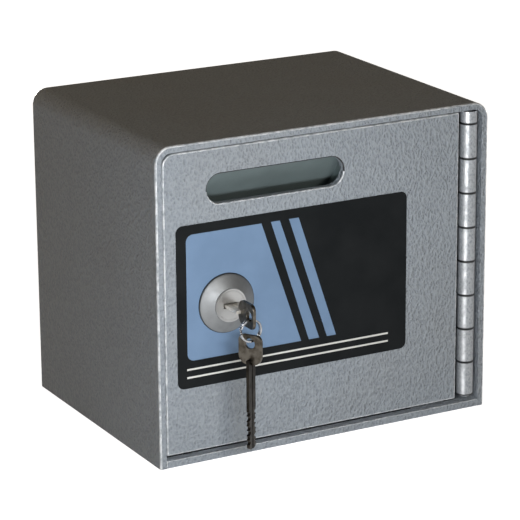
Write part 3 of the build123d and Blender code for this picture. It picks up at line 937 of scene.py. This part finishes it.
class DROPBOX_OT_lock(bpy.types.Operator):
    """The lock: escutcheon, threaded housing, plug, cam and their nuts"""

    bl_idname = "drop_box.lock"
    bl_label = "Lock"

    def execute(self, context):
        chrome, zinc = lock_metal(), zinc_plate()
        axis = lock_axis()
        low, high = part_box("escutcheon")

        # The cone's outline from its foot round the bevelled rim and up to the lock: radius,
        # and height off the door.
        hole, radius, rim_from = 11.7 * mm, 21.5 * mm, 20.6 * mm
        height = high.y - low.y
        rose = turned("escutcheon_rose", axis, (0, -1, 0), [
            (hole, 0), (radius, 0), (radius, 0.9 * mm), (20.9 * mm, 1.5 * mm),
            (20.2 * mm, 2.05 * mm), (19.3 * mm, 2.55 * mm), (12.3 * mm, height),
            (hole, height)])
        round_edges(rose, 0.3 * mm, 3, worn=True)
        # Painted shade: the rim and its bevel take the darker nickel.
        for face in rose.data.polygons:
            out = face.center - axis
            face.material_index = int((out.x ** 2 + out.z ** 2) ** 0.5 > rim_from)
        place(rose, "door", "lock_chrome", rose_metal(), "escutcheon", edge=rim_in_painted_shade())

        # The barrel's outline from the plug's seat over its head, back along the thread, and
        # forward through the bore: radius, and distance behind its front face.
        face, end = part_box("lock_housing")[0].y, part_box("lock_housing")[1].y
        span = end - face
        seat, head, crest, root, bore = (r * mm for r in (10.46, 11.9, 11.5, 10.9, 8.06))
        head_depth, seat_depth, thread_from = 0.8 * mm, 4 * mm, 14 * mm
        step = sizes().thread_pitch
        barrel = [(seat, 0), (head, 0), (head, head_depth), (crest, head_depth),
                  (crest, thread_from)]
        for index in range(int((span - thread_from - step) / step)):
            along = thread_from + index * step
            barrel += [(root, along + 0.4 * step), (root, along + 0.6 * step),
                       (crest, along + 0.9 * step), (crest, along + step)]
        barrel += [(root, span), (bore, span), (bore, seat_depth), (seat, seat_depth)]
        housing = turned("lock_barrel", (axis.x, face, axis.z), (0, 1, 0), barrel, sides=72)
        round_edges(housing, 0.12 * mm, 1)
        place(housing, "door", "lock_chrome", chrome, "lock_housing")

        place(softened("lock_plug", "lock_core", 0.12 * mm), "lock", "lock_chrome", chrome,
              "lock_plug")
        place(softened("cam", "cam_plate", 0.25 * mm), "lock", "zinc", zinc, "cam")

        for node, name, body in (("lock_nut", "barrel_nut", "door"),
                                 ("cam_nut", "cam_screw_nut", "lock")):
            low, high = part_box(node)
            corner, half = (high.x - low.x) / 2, (high.y - low.y) / 2
            nut = softened(node, name, 0)
            # A turned disc takes the six corners off both ends at 30 degrees.
            land = corner * 0.93
            slope = (corner - land) * 0.58
            disc = turned("nut_tool", (low + high) / 2, (0, 1, 0), [
                (land, -half), (corner * 1.001, slope - half), (corner * 1.001, half - slope),
                (land, half)], closed=False)
            cut(nut, disc, operation="INTERSECT")
            round_edges(nut, 0.15 * mm, 1)
            place(nut, body, "zinc", zinc, node)
        return {"FINISHED"}


class DROPBOX_OT_keys(bpy.types.Operator):
    """Both keys and the split ring"""

    bl_idname = "drop_box.keys"
    bl_label = "Keys and ring"

    def execute(self, context):
        nickel = key_nickel()
        bow_edge, blade_edge = 0.35 * mm, 0.15 * mm
        for node, name, body, edge, finish in (
                ("key_bow", "key_bow_plate", "key", bow_edge, nickel),
                ("key_blade", "key_blade_bar", "key", blade_edge, key_in_painted_highlight()),
                ("spare_bow", "spare_bow_plate", "spare", bow_edge, nickel),
                ("spare_blade", "spare_blade_bar", "spare", blade_edge, key_in_painted_shade())):
            place(softened(node, name, edge), body, "key_nickel", finish, node)
        # The wire is square in the frame. Its edges are rounded until it is round.
        place(softened("key_ring", "split_ring", 0.38 * mm, 3), "ring", "ring_steel",
              ring_steel(), "key_ring")
        return {"FINISHED"}


def weld_bead(low, high):
    """A bead along the longest side of a box, rippled like fish scales and narrow at its ends."""
    reach = [high[i] - low[i] for i in range(3)]
    axis = reach.index(max(reach))
    span = reach[axis]
    crest = min(r for i, r in enumerate(reach) if i != axis) * 0.5
    trough, tip = crest * 0.86, crest * 0.5
    way = Vector([1.0 if i == axis else 0.0 for i in range(3)])
    ripples = max(3, int(span / sizes().weld_ripple))
    profile = [(tip, 0.0)]
    for index in range(ripples):
        along = span * (index + 0.5) / ripples
        profile += [(crest, along - span * 0.2 / ripples), (trough, along + span * 0.4 / ripples)]
    profile[-1] = (tip, span)
    return turned("bead", (low + high) / 2 - way * span / 2, way, profile, sides=12,
                  closed=False)


class DROPBOX_OT_fittings(bpy.types.Operator):
    """What is inside: baffle, stops, catch and the weld beads"""

    bl_idname = "drop_box.fittings"
    bl_label = "Fittings inside"

    def execute(self, context):
        paint, shade_black = smooth_enamel("grey_enamel", tones().inner_paint), painted_shade_enamel()
        # Painted shade: the stops are black, as the shadow in the gaps round the door.
        for node, name, body, coat in (("baffle", "baffle_sheet", "door", paint),
                                       ("side_stop", "stop_side", "box", shade_black),
                                       ("top_stop", "stop_top", "box", shade_black),
                                       ("bottom_stop", "stop_bottom", "box", shade_black),
                                       ("catch", "cam_catch", "box", paint)):
            place(softened(node, name, 0.4 * mm), body, "inner_paint", coat, node)
        for node, body in (("shell_welds", "box"), ("body_leaf_welds", "box"),
                           ("door_leaf_welds", "door"), ("baffle_welds", "door")):
            beads = [weld_bead(low, high) for low, high in islands(node)]
            rest()
            for bead in beads:
                bead.select_set(True)
            bpy.context.view_layer.objects.active = beads[0]
            bpy.ops.object.join()
            run = bpy.context.object
            run.name = node.replace("welds", "beads")
            place(run, body, "inner_paint", paint, node)
        return {"FINISHED"}


class DROPBOX_PT_panel(bpy.types.Panel):
    """The drop box in the sidebar"""

    bl_label = "Drop box"
    bl_idname = "DROPBOX_PT_panel"
    bl_space_type = "VIEW_3D"
    bl_region_type = "UI"
    bl_category = "Drop box"

    def draw(self, context):
        for operator in operators:
            self.layout.operator(operator.bl_idname)
        for group in (context.scene.safe_sizes, context.scene.safe_colours):
            for name in group.bl_rna.properties.keys():
                if name not in ("rna_type", "name"):
                    self.layout.prop(group, name)


operators = (DROPBOX_OT_stage, DROPBOX_OT_shell, DROPBOX_OT_panels, DROPBOX_OT_door,
             DROPBOX_OT_badge, DROPBOX_OT_hinge, DROPBOX_OT_lock, DROPBOX_OT_keys,
             DROPBOX_OT_fittings)
classes = (SafeSizes, SafeColours, *operators, DROPBOX_PT_panel)


def register():
    """Register the classes and hang the settings on the scene."""
    for cls in classes:
        bpy.utils.register_class(cls)
    bpy.types.Scene.safe_sizes = PointerProperty(type=SafeSizes)
    bpy.types.Scene.safe_colours = PointerProperty(type=SafeColours)


def unregister():
    """Undo register."""
    del bpy.types.Scene.safe_colours
    del bpy.types.Scene.safe_sizes
    for cls in reversed(classes):
        bpy.utils.unregister_class(cls)


def main():
    """Build every piece in order."""
    register()
    bpy.ops.drop_box.stage()
    bpy.ops.drop_box.shell()
    bpy.ops.drop_box.panels()
    bpy.ops.drop_box.door()
    bpy.ops.drop_box.badge()
    bpy.ops.drop_box.hinge()
    bpy.ops.drop_box.lock()
    bpy.ops.drop_box.keys()
    bpy.ops.drop_box.fittings()


if __name__ == "__main__":
    main()
